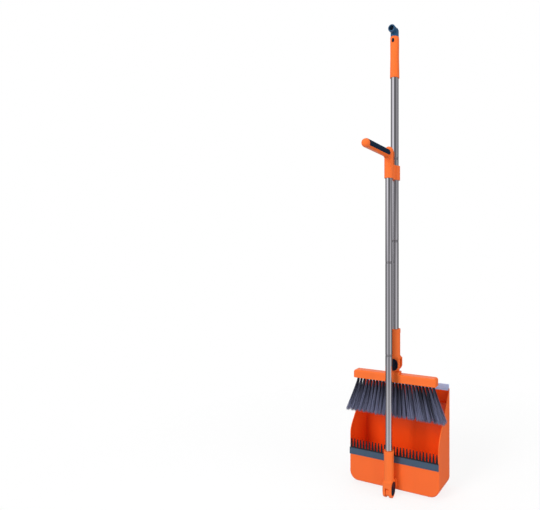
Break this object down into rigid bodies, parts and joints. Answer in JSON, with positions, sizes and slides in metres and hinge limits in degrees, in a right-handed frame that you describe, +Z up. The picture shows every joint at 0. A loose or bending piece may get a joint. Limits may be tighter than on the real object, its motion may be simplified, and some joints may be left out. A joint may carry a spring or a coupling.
{
  "type": "dust pan and brush set",
  "caption": "Long-handled dust pan with a fold-down handle and grip bar, and a swivel-head broom clipped behind it, stored upright.",
  "frame": {"origin": "on the floor at the middle of the stored set's footprint, which the set stands on with its handle fork in front and the rear edge of the pan behind", "axes": "+Z up along the handles, -Y the way the carrying bar points and the pan's mouth faces, +X to the right seen from there"},
  "size_m": [0.294, 0.2698, 1.2627],
  "materials": {
    "orange_plastic": "satin",
    "navy_plastic": "satin",
    "comb_rubber": "matte",
    "grip_rubber": "matte",
    "pale_lip": "satin",
    "stainless_tube": "polished",
    "coupler": "polished",
    "fastener": "satin",
    "bristle": "matte"
  },
  "bodies": {
    "pan": {"pan_comb": "comb_rubber", "pan_hinge_tongue": "orange_plastic", "pan_lip": "pale_lip", "pan_shell": "orange_plastic", "pan_tongue_screws": "fastener"},
    "handle": {"handle_bracket": "orange_plastic", "handle_coupler_lower": "coupler", "handle_coupler_upper": "coupler", "handle_grip_pad": "grip_rubber", "handle_hinge_bolt": "fastener", "handle_hinge_cap_a": "navy_plastic", "handle_hinge_cap_b": "navy_plastic", "handle_hinge_nut": "fastener", "handle_socket": "orange_plastic", "handle_tube_lower": "stainless_tube", "handle_tube_middle": "stainless_tube", "handle_tube_upper": "stainless_tube"},
    "broom_pole": {"broom_coupler_lower": "coupler", "broom_coupler_upper": "coupler", "broom_grip": "orange_plastic", "broom_hinge_bolt": "fastener", "broom_hinge_cap_a": "navy_plastic", "broom_hinge_cap_b": "navy_plastic", "broom_hinge_nut": "fastener", "broom_socket": "orange_plastic", "broom_tube_lower": "stainless_tube", "broom_tube_middle": "stainless_tube", "broom_tube_upper": "stainless_tube", "hanger_cap": "navy_plastic"},
    "broom_head": {"broom_block": "orange_plastic", "broom_hinge_tongue": "orange_plastic", "broom_tongue_screws": "fastener", "broom_bristles": "bristle"},
    "button": {"cap_button": "navy_plastic"}
  },
  "joints": [
    {"name": "handle_fold", "type": "hinge", "parent": "pan", "child": "handle", "pos_m": [0, 0.00995, 0.0142], "axis": [1, 0, 0], "range_deg": [0, 105]},
    {"name": "broom_lift", "type": "slide", "parent": "handle", "child": "broom_pole", "axis": [0, 0, 1], "range_m": [0, 0.3]},
    {"name": "head_swivel", "type": "hinge", "parent": "broom_pole", "child": "broom_head", "pos_m": [0, 0.04895, 0.3425], "axis": [0, 1, 0], "range_deg": [-90, 90]},
    {"name": "cap_button_press", "type": "slide", "parent": "broom_pole", "child": "button", "axis": [0, 1, 0], "range_m": [0, 0.002], "stiffness_N_per_m": 800}
  ]
}
